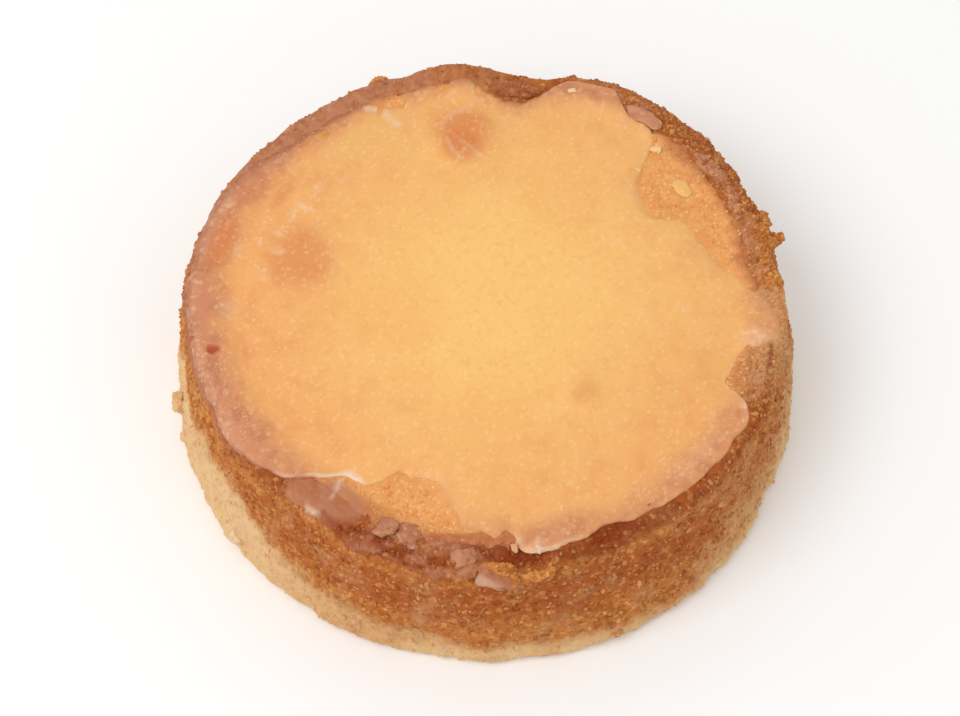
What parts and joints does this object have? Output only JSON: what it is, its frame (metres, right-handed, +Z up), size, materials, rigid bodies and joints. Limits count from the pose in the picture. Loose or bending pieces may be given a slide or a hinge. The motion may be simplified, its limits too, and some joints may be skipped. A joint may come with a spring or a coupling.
{
  "type": "lemon tart",
  "caption": "Individual round lemon tart: a sandy shortcrust case with a baked lemon filling and a thin lemon glaze, ragged where it has chipped off the rim.",
  "frame": {"origin": "middle of the underside that the tart stands on", "axes": "+Z up through the glaze, +X to the right and +Y to the back as seen from the chipped side"},
  "size_m": [0.086, 0.0873, 0.022],
  "materials": {
    "shortcrust": "baked shortcrust, dry and sandy",
    "filling": "baked lemon filling, moist and crumbly",
    "glaze": "set lemon glaze, smooth and waxy"
  },
  "bodies": {
    "root": {"pastry_case": "shortcrust", "lemon_filling": "filling", "lemon_glaze": "glaze"}
  },
  "joints": []
}
